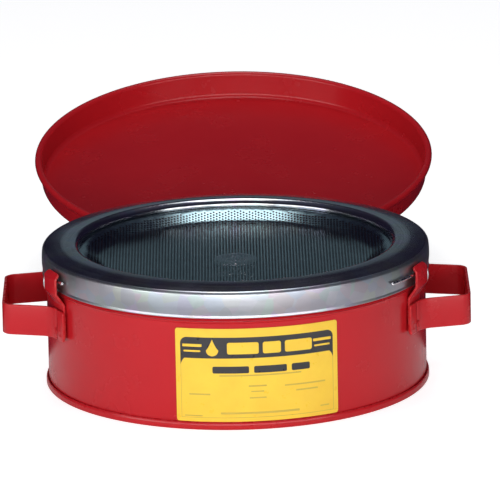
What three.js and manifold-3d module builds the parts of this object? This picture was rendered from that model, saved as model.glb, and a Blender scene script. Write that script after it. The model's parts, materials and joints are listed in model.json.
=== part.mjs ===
// Bench can for dipping small parts in solvent: a round steel reservoir with a
// hinged lid, a clamped-on ring and a sprung perforated pan.
// Millimetres, +Z up, front of the can at -Y. Heights are written from the
// surface that the can stands on, and the whole group is then lowered so that
// the origin is the centre of the bottom panel's underside.
import * as THREE from "three";
import { mergeVertices } from "three/addons/utils/BufferGeometryUtils.js";
import Module from "manifold-3d";

// ---------------------------------------------------------------- dimensions
const SHEET = 0.9; // sheet steel of the can, ring and lid
const GAP = 0.3; // between pieces that touch
const ROUND = 60; // facets round a large turned piece

const CAN = { radius: 116.3, neckTop: 84.4, curl: 1.7, beadRadius: 117.5, beadLow: 66, beadHigh: 69 };
const CHIME = { radius: 117.9, height: 4.8, panel: 4 };
const RING = {
  hemRadius: 118, hemZ: 69.6, bellyRadius: 119.1, bellyZ: 77, cornerRadius: 117.3, cornerZ: 85.8,
  crestRadius: 100.2, crestZ: 88.1, throatRadius: 95.8, lipZ: 83.1,
};
const PAN = { flangeRadius: 99.5, rimRadius: 94, rimZ: 82.7, floorRadius: 80, floorZ: 76.5, sheet: 0.8 };
const GUIDE = { tubeRadius: 7.5, tubeBore: 5.8, tubeTop: 44, stemRadius: 5, stemLow: 37 };
const SEAT = { radius: 13.6, lip: 2.6, sheet: 0.8 };
const SPRING = { radius: 10.6, wire: 0.9, turns: 8, deadTurns: 0.9 };
const HANDLE = {
  low: 39.7, width: 19, strap: 1.6, gripX: 142.2, gripY: 33.9, legY: 41.6, footAngle: 28.5, footArc: 4,
  legTurn: 14, gripTurn: 7,
};
const BRACKET = { azimuth: 66.6, width: 17, strap: 1.4, low: 41, stepLow: 62, hookRadius: 122.6 };
const PIN = { radius: 120.5, z: 77.3, wire: 1, rightFront: 51.6, leftFront: 60.8, back: 73.2 };
const LID = {
  open: 169, rimZ: 71.3, rimRadius: 129, rollRadius: 2.25, innerRadius: 124.5, depth: 17.3, corner: 4,
  taper: 0.5,
};
const HINGE = { y: 129.3, z: 61.8, pin: 1.5, bore: 1.8, barrel: 3.2, strap: 1.4, width: 30, knuckle: 14 };
const LABEL = { left: -18.5, right: 30.8, low: 5.2, high: 63, sheet: 0.3 };

// ------------------------------------------------------------------- colours
const finish = (color, metalness, roughness) =>
  new THREE.MeshStandardMaterial({ color, metalness, roughness });
const redPaint = () => finish(0xb01526, 0.1, 0.3);
const galvanised = () => finish(0xa9abb2, 0.9, 0.35);
const screenSteel = () => finish(0x52707a, 0.85, 0.4);
const springSteel = () => finish(0x8c8c90, 0.9, 0.4);
const paperLabel = () => finish(0xf8dc50, 0, 0.5);

// ------------------------------------------------------------------- helpers
const wasm = await Module();
wasm.setup();

const radians = THREE.MathUtils.degToRad;

// A point at an azimuth counted from the front (-Y) towards +X.
const around = (azimuth, radius, z = 0) =>
  new THREE.Vector3(radius * Math.sin(radians(azimuth)), -radius * Math.cos(radians(azimuth)), z);

// A geometry as a manifold-3d solid.
function solid(geometry) {
  const bare = geometry.clone();
  bare.deleteAttribute("normal");
  bare.deleteAttribute("uv");
  const merged = mergeVertices(bare, 1e-3);
  return new wasm.Manifold(
    new wasm.Mesh({
      numProp: 3,
      vertProperties: merged.attributes.position.array,
      triVerts: new Uint32Array(merged.index.array),
    }),
  );
}

// A manifold-3d solid back as a geometry.
function geometryOf(made) {
  const mesh = made.getMesh();
  return new THREE.BufferGeometry()
    .setAttribute("position", new THREE.BufferAttribute(mesh.vertProperties, 3))
    .setIndex(new THREE.BufferAttribute(mesh.triVerts, 1));
}

// Points on an arc, angles in degrees.
function arc(centreX, centreY, radius, from, to, steps) {
  return Array.from({ length: steps + 1 }, (_, i) => {
    const angle = radians(from + ((to - from) * i) / steps);
    return [centreX + radius * Math.cos(angle), centreY + radius * Math.sin(angle)];
  });
}

// A turned solid about Z from an outline of [radius, z] points, in either
// direction. The outline starts and ends on the axis, or is closed here.
function turned(outline, segments = ROUND) {
  const onAxis = outline[0][0] === 0;
  const points = onAxis ? [...outline] : [...outline, outline[0]];
  const area = points.slice(1).reduce((sum, [r, z], i) => sum + points[i][0] * z - r * points[i][1], 0);
  if (area < 0) points.reverse();
  const profile = points.map(([r, z]) => new THREE.Vector2(r, z));
  return new THREE.LatheGeometry(profile, segments).rotateX(Math.PI / 2);
}

// A centreline through corner points, each corner rounded by its own radius.
function rounded(corners, radii) {
  const line = [corners[0]];
  for (let i = 1; i < corners.length - 1; i++) {
    const here = new THREE.Vector2(...corners[i]);
    const back = new THREE.Vector2(...corners[i - 1]).sub(here).normalize();
    const ahead = new THREE.Vector2(...corners[i + 1]).sub(here).normalize();
    const half = Math.acos(THREE.MathUtils.clamp(back.dot(ahead), -1, 1)) / 2;
    const reach = radii[i - 1] / Math.tan(half);
    const centre = back.clone().add(ahead).setLength(radii[i - 1] / Math.sin(half)).add(here);
    const start = back.multiplyScalar(reach).add(here).sub(centre);
    const end = ahead.multiplyScalar(reach).add(here).sub(centre);
    const turn = Math.atan2(start.cross(end), start.dot(end));
    const steps = Math.max(2, Math.ceil(Math.abs(turn) / radians(15)));
    for (let s = 0; s <= steps; s++) {
      const point = start.clone().rotateAround(new THREE.Vector2(), (turn * s) / steps).add(centre);
      line.push([point.x, point.y]);
    }
  }
  line.push(corners.at(-1));
  return line;
}

// The outline of a strap of even thickness along a centreline.
function strapShape(line, thickness) {
  const sides = [[], []];
  line.forEach(([x, y], i) => {
    const [ax, ay] = line[Math.max(i - 1, 0)];
    const [bx, by] = line[Math.min(i + 1, line.length - 1)];
    const before = new THREE.Vector2(x - ax, y - ay);
    const after = new THREE.Vector2(bx - x, by - y);
    const along = before.normalize().add(after.normalize()).normalize();
    sides[0].push(new THREE.Vector2(x - (along.y * thickness) / 2, y + (along.x * thickness) / 2));
    sides[1].unshift(new THREE.Vector2(x + (along.y * thickness) / 2, y - (along.x * thickness) / 2));
  });
  return new THREE.Shape([...sides[0], ...sides[1]]);
}

const extruded = (shape, depth) =>
  new THREE.ExtrudeGeometry(shape, { depth, bevelEnabled: false, curveSegments: 12 });

// A strap drawn in a plane that holds Z, as [out, z] points, and extruded
// evenly to both sides of that plane. "out" becomes +Y here.
const strapAcross = (line, thickness, width) =>
  extruded(strapShape(line, thickness), width)
    .translate(0, 0, -width / 2)
    .rotateX(Math.PI / 2)
    .rotateZ(Math.PI / 2);

// A round wire along a curve.
function wire(curve, radius, steps) {
  const section = new THREE.Shape().absarc(0, 0, radius, 0, 2 * Math.PI);
  return new THREE.ExtrudeGeometry(section, { steps, extrudePath: curve, curveSegments: 3 });
}

const root = new THREE.Group();

function add(name, geometry, material, parent = root) {
  const mesh = new THREE.Mesh(geometry, material);
  mesh.name = name;
  parent.add(mesh);
  return mesh;
}

// ----------------------------------------------------------------- reservoir
// Wall with a stiffening bead under the ring and an inward curl at its mouth.
function canBody() {
  const { radius, neckTop, curl, beadRadius, beadLow, beadHigh } = CAN;
  const inner = radius - SHEET;
  const beadDepth = beadRadius - radius;
  const wallFoot = SHEET + GAP;
  return turned([
    [radius, wallFoot],
    [radius, beadLow],
    [beadRadius, beadLow + beadDepth],
    [beadRadius, beadHigh - beadDepth],
    [radius, beadHigh],
    ...arc(radius - curl, neckTop - curl, curl, 0, 225, 5),
    [inner, neckTop - 2 * curl],
    [inner, beadHigh],
    [beadRadius - SHEET, beadHigh - beadDepth],
    [beadRadius - SHEET, beadLow + beadDepth],
    [inner, beadLow],
    [inner, wallFoot],
  ]);
}

// Recessed bottom whose edge wraps the wall's foot and makes the chime.
function bottomPanel() {
  const { radius, height, panel } = CHIME;
  const seam = CAN.radius - SHEET - GAP;
  const hem = CAN.radius + GAP;
  const edge = (radius - hem) / 2;
  return turned([
    [0, panel],
    [seam - SHEET - 1.5, panel],
    [seam - SHEET, panel - 1.5],
    [seam - SHEET, 0],
    [radius - 0.8, 0],
    [radius, 0.8],
    [radius, height - edge],
    [radius - edge, height],
    [hem, height - edge],
    [hem, SHEET],
    [seam, SHEET],
    [seam, panel + SHEET],
    [0, panel + SHEET],
  ]);
}

// -------------------------------------------------------------- ring and pan
// Clamp ring: a slightly barrelled skirt, a crowned top and an inner lip.
function screenRing() {
  const r = RING;
  const bend = 2;
  const outer = [
    [r.hemRadius, r.hemZ],
    [r.bellyRadius - 0.4, (r.hemZ + r.bellyZ) / 2],
    [r.bellyRadius, r.bellyZ],
    [r.bellyRadius - 0.5, (r.bellyZ + r.cornerZ) / 2],
    ...arc(r.cornerRadius - bend, r.cornerZ - bend, bend, 20, 85, 2),
    [r.crestRadius + 3, r.crestZ - 0.4],
    ...arc(r.crestRadius, r.crestZ - bend, bend, 80, 165, 2),
    [r.throatRadius, r.lipZ],
  ];
  const inner = [
    [r.throatRadius + SHEET, r.lipZ],
    ...arc(r.crestRadius, r.crestZ - bend, bend - SHEET, 165, 80, 2),
    [r.crestRadius + 3, r.crestZ - 0.4 - SHEET],
    ...arc(r.cornerRadius - bend, r.cornerZ - bend, bend - SHEET, 85, 20, 2),
    [r.bellyRadius - 0.5 - SHEET, (r.bellyZ + r.cornerZ) / 2],
    [r.bellyRadius - SHEET, r.bellyZ],
    [r.bellyRadius - 0.4 - SHEET, (r.hemZ + r.bellyZ) / 2],
    [r.hemRadius - SHEET, r.hemZ],
  ];
  return turned([...outer, ...inner]);
}

// Shallow dish with a flat flange that the ring's lip holds down.
function perforatedPan() {
  const { flangeRadius, rimRadius, rimZ, floorRadius, floorZ, sheet } = PAN;
  return turned([
    [0, floorZ],
    [floorRadius - 2, floorZ],
    [floorRadius, floorZ + 0.5],
    [rimRadius, rimZ],
    [flangeRadius, rimZ],
    [flangeRadius, rimZ - sheet],
    [rimRadius + 0.4, rimZ - sheet],
    [floorRadius + 0.4, floorZ + 0.5 - sheet],
    [floorRadius - 2, floorZ - sheet],
    [0, floorZ - sheet],
  ]);
}

// A pressed ring-shaped cup for one end of the spring, floor at z = 0.
function springSeat(bore) {
  const { radius, lip, sheet } = SEAT;
  return turned(
    [[bore, 0], [radius, 0], [radius, lip], [radius - sheet, lip], [radius - sheet, sheet], [bore, sheet]],
    36,
  );
}

const seatLow = CHIME.panel + SHEET + GAP;
const seatHigh = PAN.floorZ - PAN.sheet - GAP;
const springLow = seatLow + SEAT.sheet + GAP + SPRING.wire;
const springHigh = seatHigh - SEAT.sheet - GAP - SPRING.wire;

// Compression spring with a nearly flat turn at each end.
class SpringCurve extends THREE.Curve {
  getPoint(t, target = new THREE.Vector3()) {
    const turn = t * SPRING.turns;
    const active = SPRING.turns - 2 * SPRING.deadTurns;
    const climbed = THREE.MathUtils.clamp((turn - SPRING.deadTurns) / active, 0, 1);
    const flat = 2 * SPRING.wire * 1.15;
    const ends = Math.min(turn, SPRING.deadTurns) + Math.max(turn - SPRING.turns + SPRING.deadTurns, 0);
    const rise = springHigh - springLow - 2 * flat * SPRING.deadTurns;
    const angle = 2 * Math.PI * turn;
    const height = springLow + ends * flat + climbed * rise;
    return target.set(SPRING.radius * Math.cos(angle), SPRING.radius * Math.sin(angle), height);
  }
}

// ------------------------------------------------------- handles and brackets
// Flat strap bent round the fingers. The rear foot lies on the wall and the
// front one on the bracket.
function handle() {
  const { strap, gripX, gripY, legY, footAngle, footArc, legTurn, gripTurn } = HANDLE;
  const rearRadius = CAN.radius + GAP + strap / 2;
  const frontRadius = rearRadius + BRACKET.strap + 2 * GAP;
  const half = (radius, side) => [
    ...arc(0, 0, radius, side * footAngle, side * (footAngle - footArc), 2),
    [Math.sqrt(radius ** 2 - legY ** 2), side * legY],
    [gripX, side * gripY],
  ];
  const corners = [...half(frontRadius, -1), ...half(rearRadius, 1).reverse()];
  const flow = CAN.radius / 2;
  const radii = [flow, flow, legTurn, gripTurn, gripTurn, legTurn, flow, flow];
  return extruded(strapShape(rounded(corners, radii), strap), HANDLE.width).translate(0, 0, HANDLE.low);
}

// Upright strip under the handle's front foot: it steps out past the ring's
// skirt and hooks over the retaining pin.
function bracket() {
  const { strap, width, low, stepLow, hookRadius } = BRACKET;
  const padRadius = CAN.radius + GAP + strap / 2;
  const stepHigh = RING.hemZ;
  const line = rounded(
    [
      [padRadius, low],
      [padRadius, stepLow],
      [hookRadius, stepHigh],
      [hookRadius, PIN.z + 1.8],
      [RING.bellyRadius + 0.8, PIN.z + 4.6],
    ],
    [3, 3, 1.6],
  );
  return strapAcross(line, strap, width).rotateZ(radians(BRACKET.azimuth + 180));
}

// Retaining pin: a wire that follows the skirt and ends in a turned-down tail.
function retainingPin(front) {
  const { radius, z, back } = PIN;
  const along = [];
  for (let azimuth = front; azimuth < back - 1.5; azimuth += (back - 1.5 - front) / 5.001) {
    along.push(around(azimuth, radius, z));
  }
  const tail = [
    around(back - 0.25, radius + 0.1, z - 0.5),
    around(back + 0.25, radius + 0.6, z - 2.2),
    around(back + 0.25, radius + 1, z - 5),
    around(back + 0.15, radius + 0.6, z - 8.5),
  ];
  return wire(new THREE.CatmullRomCurve3([...along, ...tail], false, "centripetal"), PIN.wire, 34);
}

// ------------------------------------------------------------- lid and hinge
// Drawn lid with a rolled edge, in its closed place.
function lidShell() {
  const { rimZ, rimRadius, rollRadius, innerRadius, depth, corner, taper } = LID;
  const ceiling = rimZ + depth;
  const rollX = rimRadius - rollRadius;
  const rollZ = rimZ + rollRadius;
  const topInner = innerRadius - taper;
  const outerRadius = innerRadius + SHEET;
  const joint = THREE.MathUtils.radToDeg(Math.acos((outerRadius - rollX) / rollRadius));
  return turned([
    [0, ceiling],
    ...arc(topInner - corner + SHEET, ceiling - corner + SHEET, corner - SHEET, 90, 0, 3),
    ...arc(rollX, rollZ, rollRadius, 180, 360 + joint, 7),
    ...arc(topInner + SHEET - corner, ceiling + SHEET - corner, corner, 0, 90, 3),
    [0, ceiling + SHEET],
  ]);
}

// A barrel round the hinge axis between two places along X.
function barrel(fromX, toX) {
  const shape = new THREE.Shape().absarc(0, 0, HINGE.barrel, 0, 2 * Math.PI);
  shape.holes.push(new THREE.Path().absarc(0, 0, HINGE.bore, 0, 2 * Math.PI, true));
  return extruded(shape, toX - fromX)
    .rotateY(Math.PI / 2)
    .translate(fromX, HINGE.y, HINGE.z);
}

// Leaf on the can: a curved foot, two arms that end in barrels, and a tongue
// that stops the open lid.
function bodyHingeLeaf() {
  const footRadius = CAN.radius + GAP + HINGE.strap / 2;
  const reach = THREE.MathUtils.radToDeg(Math.asin(HINGE.width / 2 / footRadius));
  const footLine = arc(0, 0, footRadius, 90 - reach, 90 + reach, 6);
  let leaf = solid(extruded(strapShape(footLine, HINGE.strap), 20).translate(0, 0, 37));
  const armWidth = (HINGE.width - HINGE.knuckle) / 2 - GAP;
  const armY = CAN.radius + 2 * GAP + HINGE.strap / 2;
  const armLine = rounded([[armY, 46], [armY, 51], [HINGE.y - 2.2, HINGE.z - 1.4]], [4]);
  for (const side of [-1, 1]) {
    const middle = side * (HINGE.width / 2 - armWidth / 2);
    const arm = strapAcross(armLine, HINGE.strap, armWidth).translate(middle, 0, 0);
    const knuckle = barrel(middle - armWidth / 2, middle + armWidth / 2);
    const way = new THREE.CylinderGeometry(HINGE.bore, HINGE.bore, HINGE.width + 10, 24)
      .rotateZ(Math.PI / 2)
      .translate(0, HINGE.y, HINGE.z);
    leaf = leaf.add(solid(arm).subtract(solid(way)).add(solid(knuckle)));
  }
  const tongueLine = rounded([[armY, 43], [armY, 49.4], [HINGE.y - 1.2, 49.4]], [2.5]);
  return geometryOf(leaf.add(solid(strapAcross(tongueLine, HINGE.strap, 9))));
}

// Leaf on the lid, in its closed place: up from the barrel, outside the
// rolled edge, and in to the skirt.
function lidHingeLeaf() {
  const padY = LID.innerRadius + SHEET + GAP + HINGE.strap / 2;
  const outY = HINGE.y + HINGE.barrel - HINGE.strap / 2;
  const line = rounded([[outY, HINGE.z], [outY, 76.6], [padY, 79.6], [padY, 85]], [2.5, 2.5]);
  const half = HINGE.knuckle / 2 - GAP;
  const strap = strapAcross(line, HINGE.strap, 2 * half);
  return geometryOf(solid(strap).add(solid(barrel(-half, half))));
}

// --------------------------------------------------------------------- label
// Thin curved plate on the front of the wall.
function label() {
  const { left, right, low, high, sheet } = LABEL;
  const line = arc(0, 0, CAN.radius + GAP + sheet / 2, left - 90, right - 90, 12);
  return extruded(strapShape(line, sheet), high - low).translate(0, 0, low);
}

// ------------------------------------------------------------------ assembly
add("can_body", canBody(), redPaint());
add("bottom_panel", bottomPanel(), redPaint());
add("screen_ring", screenRing(), galvanised());
add("perforated_pan", perforatedPan(), screenSteel());

add("lower_spring_seat", springSeat(GUIDE.tubeRadius + GAP), galvanised()).position.z = seatLow;
const upperSeat = add("upper_spring_seat", springSeat(GUIDE.stemRadius + GAP), galvanised());
upperSeat.rotation.x = Math.PI;
upperSeat.position.z = seatHigh;
add("return_spring", wire(new SpringCurve(), SPRING.wire, 96), springSteel());

const { tubeRadius, tubeBore, tubeTop, stemRadius, stemLow } = GUIDE;
const tubeSide = [[tubeBore, seatLow], [tubeRadius, seatLow], [tubeRadius, tubeTop], [tubeBore, tubeTop]];
add("guide_tube", turned(tubeSide, 32), galvanised());
const stemTip = [[0, stemLow], [stemRadius - 1, stemLow], [stemRadius, stemLow + 1]];
add("guide_stem", turned([...stemTip, [stemRadius, seatHigh], [0, seatHigh]], 32), galvanised());

for (const [side, mirror, front] of [["right", 1, PIN.rightFront], ["left", -1, PIN.leftFront]]) {
  add(`${side}_handle`, handle(), redPaint()).scale.x = mirror;
  add(`${side}_bracket`, bracket(), redPaint()).scale.x = mirror;
  add(`${side}_retaining_pin`, retainingPin(front), galvanised()).scale.x = mirror;
}

add("label", label(), paperLabel());
add("body_hinge_leaf", bodyHingeLeaf(), redPaint());
const hingePin = new THREE.CylinderGeometry(HINGE.pin, HINGE.pin, HINGE.width + 2, 24).rotateZ(Math.PI / 2);
add("hinge_pin", hingePin, galvanised()).position.set(0, HINGE.y, HINGE.z);

// The lid and its leaf swing together about the hinge axis, from closed (0)
// to resting open.
const swing = new THREE.Group();
swing.position.set(0, HINGE.y, HINGE.z);
swing.rotation.x = -radians(LID.open);
const closedPlace = new THREE.Group();
closedPlace.position.set(0, -HINGE.y, -HINGE.z);
swing.add(closedPlace);
root.add(swing);
add("lid", lidShell(), redPaint(), closedPlace);
add("lid_hinge_leaf", lidHingeLeaf(), redPaint(), closedPlace);

root.position.z = -CHIME.panel;

export default root;
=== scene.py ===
"""Round safety bench can: fine surfaces, finishes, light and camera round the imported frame.

Profiles are written in millimetres from the surface that the can stands on, and
placed() turns them into metres in the shared frame. Bodies and pieces ride by name.
"""

import json
import math

import bmesh
import bpy
from mathutils import Matrix, Vector


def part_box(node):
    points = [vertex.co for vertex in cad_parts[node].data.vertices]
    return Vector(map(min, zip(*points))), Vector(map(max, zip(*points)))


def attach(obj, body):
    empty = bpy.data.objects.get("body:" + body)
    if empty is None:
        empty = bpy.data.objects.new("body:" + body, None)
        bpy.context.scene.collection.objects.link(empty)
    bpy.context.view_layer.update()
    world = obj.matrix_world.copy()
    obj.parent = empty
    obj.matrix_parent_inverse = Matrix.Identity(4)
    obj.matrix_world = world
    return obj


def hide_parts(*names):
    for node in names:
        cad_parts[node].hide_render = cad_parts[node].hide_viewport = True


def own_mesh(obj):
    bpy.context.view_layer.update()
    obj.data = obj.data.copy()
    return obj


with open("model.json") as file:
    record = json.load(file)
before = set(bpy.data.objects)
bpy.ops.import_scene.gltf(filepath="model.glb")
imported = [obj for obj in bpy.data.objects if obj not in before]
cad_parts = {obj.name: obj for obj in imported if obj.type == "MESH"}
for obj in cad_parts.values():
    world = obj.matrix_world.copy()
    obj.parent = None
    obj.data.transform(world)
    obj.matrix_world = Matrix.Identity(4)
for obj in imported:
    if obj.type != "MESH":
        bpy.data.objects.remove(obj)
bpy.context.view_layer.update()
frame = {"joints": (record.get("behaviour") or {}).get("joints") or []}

MM = 0.001
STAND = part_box("bottom_panel")[0].z / MM  # height of the standing surface in the frame
UP = Vector((0, 0, 1))


def low(node):
    """Lowest corner of a CAD node, in millimetres above the standing surface."""
    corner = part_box(node)[0] / MM
    return Vector((corner.x, corner.y, corner.z - STAND))


def high(node):
    """Highest corner of a CAD node, in millimetres above the standing surface."""
    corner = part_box(node)[1] / MM
    return Vector((corner.x, corner.y, corner.z - STAND))


# ------------------------------------------------------------------ dimensions
SHEET = 0.9
GAP = 0.3
INSIDE = -1  # the edge mark of faces inside the can
ROUND = 288  # steps round a large turned piece

WALL = 116.3
NECK_TOP, NECK_CURL = high("can_body").z, 1.7
BEAD_LOW, BEAD_HIGH, BEAD_DEPTH = 66.0, 69.0, 1.2
CHIME_RADIUS, CHIME_TOP = high("bottom_panel").x, 4.8
PANEL, PANEL_BEAD_IN, PANEL_BEAD_OUT, PANEL_BEAD_RISE = 4.0, 70.0, 80.0, 1.2

RING_BELLY, RING_HEM, RING_TOP = high("screen_ring").x, low("screen_ring").z, high("screen_ring").z
RING_THROAT, RING_LIP_DROP, RING_CROWN = 96.25, 4.9, 3.7

PAN_FLANGE, PAN_RIM_Z = high("perforated_pan").x, high("perforated_pan").z
PAN_RIM, PAN_FLOOR, PAN_SHEET = 93.4, 82.0, 0.8
PAN_FLOOR_Z = low("perforated_pan").z + PAN_SHEET
PAN_FLOOR_BEND, PAN_RIM_BEND = 2.2, 0.5
HOLE, HOLE_PITCH, HOLE_REACH, HOLE_SIDES = 1.35, 2.16, 91.0, 12

SEAT_RADIUS, SEAT_LIP, SEAT_SHEET = high("lower_spring_seat").x, 2.6, 0.8
SEAT_LOW, SEAT_HIGH = low("lower_spring_seat").z, high("upper_spring_seat").z
TUBE_RADIUS, TUBE_BORE, STEM_RADIUS = high("guide_tube").x, 5.8, high("guide_stem").x
SPRING_RADIUS, SPRING_WIRE, SPRING_TURNS, DEAD_TURNS = 10.6, 0.9, 8, 0.9

HANDLE_LOW, HANDLE_WIDTH, HANDLE_STRAP = low("right_handle").z, 19.0, 1.6
GRIP_X, GRIP_Y, LEG_Y, FOOT_ANGLE, FOOT_ARC = 142.2, 33.9, 41.6, 28.5, 4.0
GRIP_BEND, LEG_BEND = 7, 14
BRACKET_AZIMUTH, BRACKET_WIDTH, BRACKET_STRAP, BRACKET_HOOK = 66.6, 17.0, 1.4, 122.6
BRACKET_LOW, BRACKET_KNEE = low("right_bracket").z, 62.0
PIN_RADIUS, PIN_Z, PIN_WIRE, PIN_BACK = 120.5, 77.3, 1.0, 73.2
PIN_FRONT = {"right": 51.6, "left": 60.8}

LID_RIM_Z, LID_ROLL_X, LID_ROLL, LID_DEPTH, LID_CORNER, LID_TAPER = 71.3, 126.75, 2.25, 17.3, 4.0, 0.5
HINGE_Y = (low("hinge_pin").y + high("hinge_pin").y) / 2
HINGE_Z = (low("hinge_pin").z + high("hinge_pin").z) / 2
HINGE_BARREL, HINGE_BORE, HINGE_STRAP, HINGE_WIDTH, KNUCKLE = 3.2, 1.8, 1.4, 30.0, 14.0
HINGE_FOOT_LOW, HINGE_FOOT_TALL = low("body_hinge_leaf").z, 20.0
ARM_LOW, ARM_BEND_Z, TONGUE_LOW, TONGUE_Z, TONGUE_WIDTH = 44.0, 51.0, 43.0, 49.4, 9.0
LEAF_BEND_Z, LEAF_PAD_LOW, LEAF_PAD_TOP = 76.6, 79.6, 85.0

LABEL_LEFT, LABEL_RIGHT = -18.5, 30.8
LABEL_LOW, LABEL_HIGH, LABEL_FACE = low("label").z, high("label").z, WALL + GAP + 0.3


# ---------------------------------------------------------------- mesh helpers
def placed(x, y, z):
    """A point in millimetres above the standing surface, as metres in the frame."""
    return Vector((x, y, z + STAND)) * MM


def around(azimuth, radius, z):
    """A point at an azimuth counted from the front (-Y) towards +X."""
    a = math.radians(azimuth)
    return placed(radius * math.sin(a), -radius * math.cos(a), z)


def arc(centre_x, centre_y, radius, start, end, steps):
    """Points on an arc, angles in degrees."""
    angles = [math.radians(start + (end - start) * i / steps) for i in range(steps + 1)]
    return [(centre_x + radius * math.cos(a), centre_y + radius * math.sin(a)) for a in angles]


def rounded(corners, radii, step=6):
    """A line through corner points, each corner rounded by its own radius."""
    line = [tuple(corners[0])]
    for i in range(1, len(corners) - 1):
        here = Vector(corners[i])
        back = (Vector(corners[i - 1]) - here).normalized()
        ahead = (Vector(corners[i + 1]) - here).normalized()
        half = math.acos(max(-1, min(1, back.dot(ahead)))) / 2
        radius = radii[i - 1]
        centre = here + (back + ahead).normalized() * radius / math.sin(half)
        first = here + back * radius / math.tan(half) - centre
        last = here + ahead * radius / math.tan(half) - centre
        turn = math.atan2(first.x * last.y - first.y * last.x, first.dot(last))
        steps = max(2, math.ceil(abs(math.degrees(turn)) / step))
        for s in range(steps + 1):
            point = Matrix.Rotation(turn * s / steps, 2) @ first + centre
            line.append((point.x, point.y))
    return line + [tuple(corners[-1])]


def normals_of(line):
    """Left-hand unit normals of an open line of 2-D points."""
    found = []
    for i, _ in enumerate(line):
        before = Vector(line[i]) - Vector(line[max(i - 1, 0)])
        after = Vector(line[min(i + 1, len(line) - 1)]) - Vector(line[i])
        along = (before.normalized() + after.normalized()).normalized()
        found.append(Vector((-along.y, along.x)))
    return found


def sheet_outline(line, thickness, open_start=False, left_mark=0):
    """The closed outline of sheet metal along a centreline, its edges rounded.
    Each point comes with 1 on a cut edge and 0 elsewhere, or left_mark on the left."""
    half = thickness / 2
    normals = normals_of(line)
    left = [(Vector(p) + n * half, left_mark) for p, n in zip(line, normals)]
    right = [(Vector(p) - n * half, 0) for p, n in zip(line, normals)]

    def cap(point, normal, sign):
        along = Vector((normal.y, -normal.x)) * sign
        turns = [math.radians(a) for a in (30, 60, 90, 120, 150)]
        return [
            (Vector(point) + (normal * math.cos(t) * sign + along * math.sin(t)) * half, 1) for t in turns
        ]

    outline = left + cap(line[-1], normals[-1], 1) + right[::-1]
    return outline if open_start else outline + cap(line[0], normals[0], -1)


def mesh_object(name, points, faces, material, edge=None, sharp=40):
    """A smooth-shaded object from points in metres. edge holds a mark for each point."""
    mesh = bpy.data.meshes.new(name)
    mesh.from_pydata([tuple(p) for p in points], [], faces)
    mesh.validate()
    if edge is not None:
        layer = mesh.attributes.new("edge", "FLOAT", "POINT")
        layer.data.foreach_set("value", edge)
    mesh.shade_smooth()
    mesh.set_sharp_from_angle(angle=math.radians(sharp))
    mesh.materials.append(material)
    made = bpy.data.objects.new(name, mesh)
    bpy.context.scene.collection.objects.link(made)
    return made


def turned(name, outline, material, steps=ROUND, sharp=40, place=placed):
    """A piece turned about Z from an outline of ((radius, z), edge) points.
    An outline whose ends are on the axis is closed there, any other on itself."""
    closed = min(outline[0][0][0], outline[-1][0][0]) > 1e-6
    area = sum(
        a[0][0] * b[0][1] - b[0][0] * a[0][1] for a, b in zip(outline, outline[1:] + outline[:1])
    )
    outline = outline if area > 0 else outline[::-1]
    points, edge, rings = [], [], []
    for (radius, z), mark in outline:
        count = steps if radius > 1e-6 else 1
        rings.append((len(points), count))
        for i in range(count):
            a = 2 * math.pi * i / steps
            points.append(place(radius * math.cos(a), radius * math.sin(a), z))
            edge.append(mark)
    faces = []
    pairs = list(zip(rings, rings[1:] + rings[:1])) if closed else list(zip(rings, rings[1:]))
    for (a, a_count), (b, b_count) in pairs:
        for i in range(steps):
            j = (i + 1) % steps
            corners = [a + i % a_count, a + j % a_count, b + j % b_count, b + i % b_count]
            face = list(dict.fromkeys(corners))
            if len(face) > 2:
                faces.append(face)
    return mesh_object(name, points, faces, material, edge, sharp)


def section(half_thick, half_wide, corner, steps=3):
    """A rounded rectangle as (through, across) points."""
    corner = min(corner, half_thick * 0.98, half_wide * 0.98)
    centres = [(1, 1, 0), (-1, 1, 90), (-1, -1, 180), (1, -1, 270)]
    found = []
    for sx, sy, start in centres:
        centre = (sx * (half_thick - corner), sy * (half_wide - corner))
        found += arc(*centre, corner, start, start + 90, steps)
    return found


def drawn_in(distance, radius):
    """How far a round corner draws an edge in, at a distance from the corner's side."""
    if radius <= 0 or distance >= radius:
        return 0.0
    return radius - math.sqrt(max(radius**2 - (radius - distance) ** 2, 0))


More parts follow.
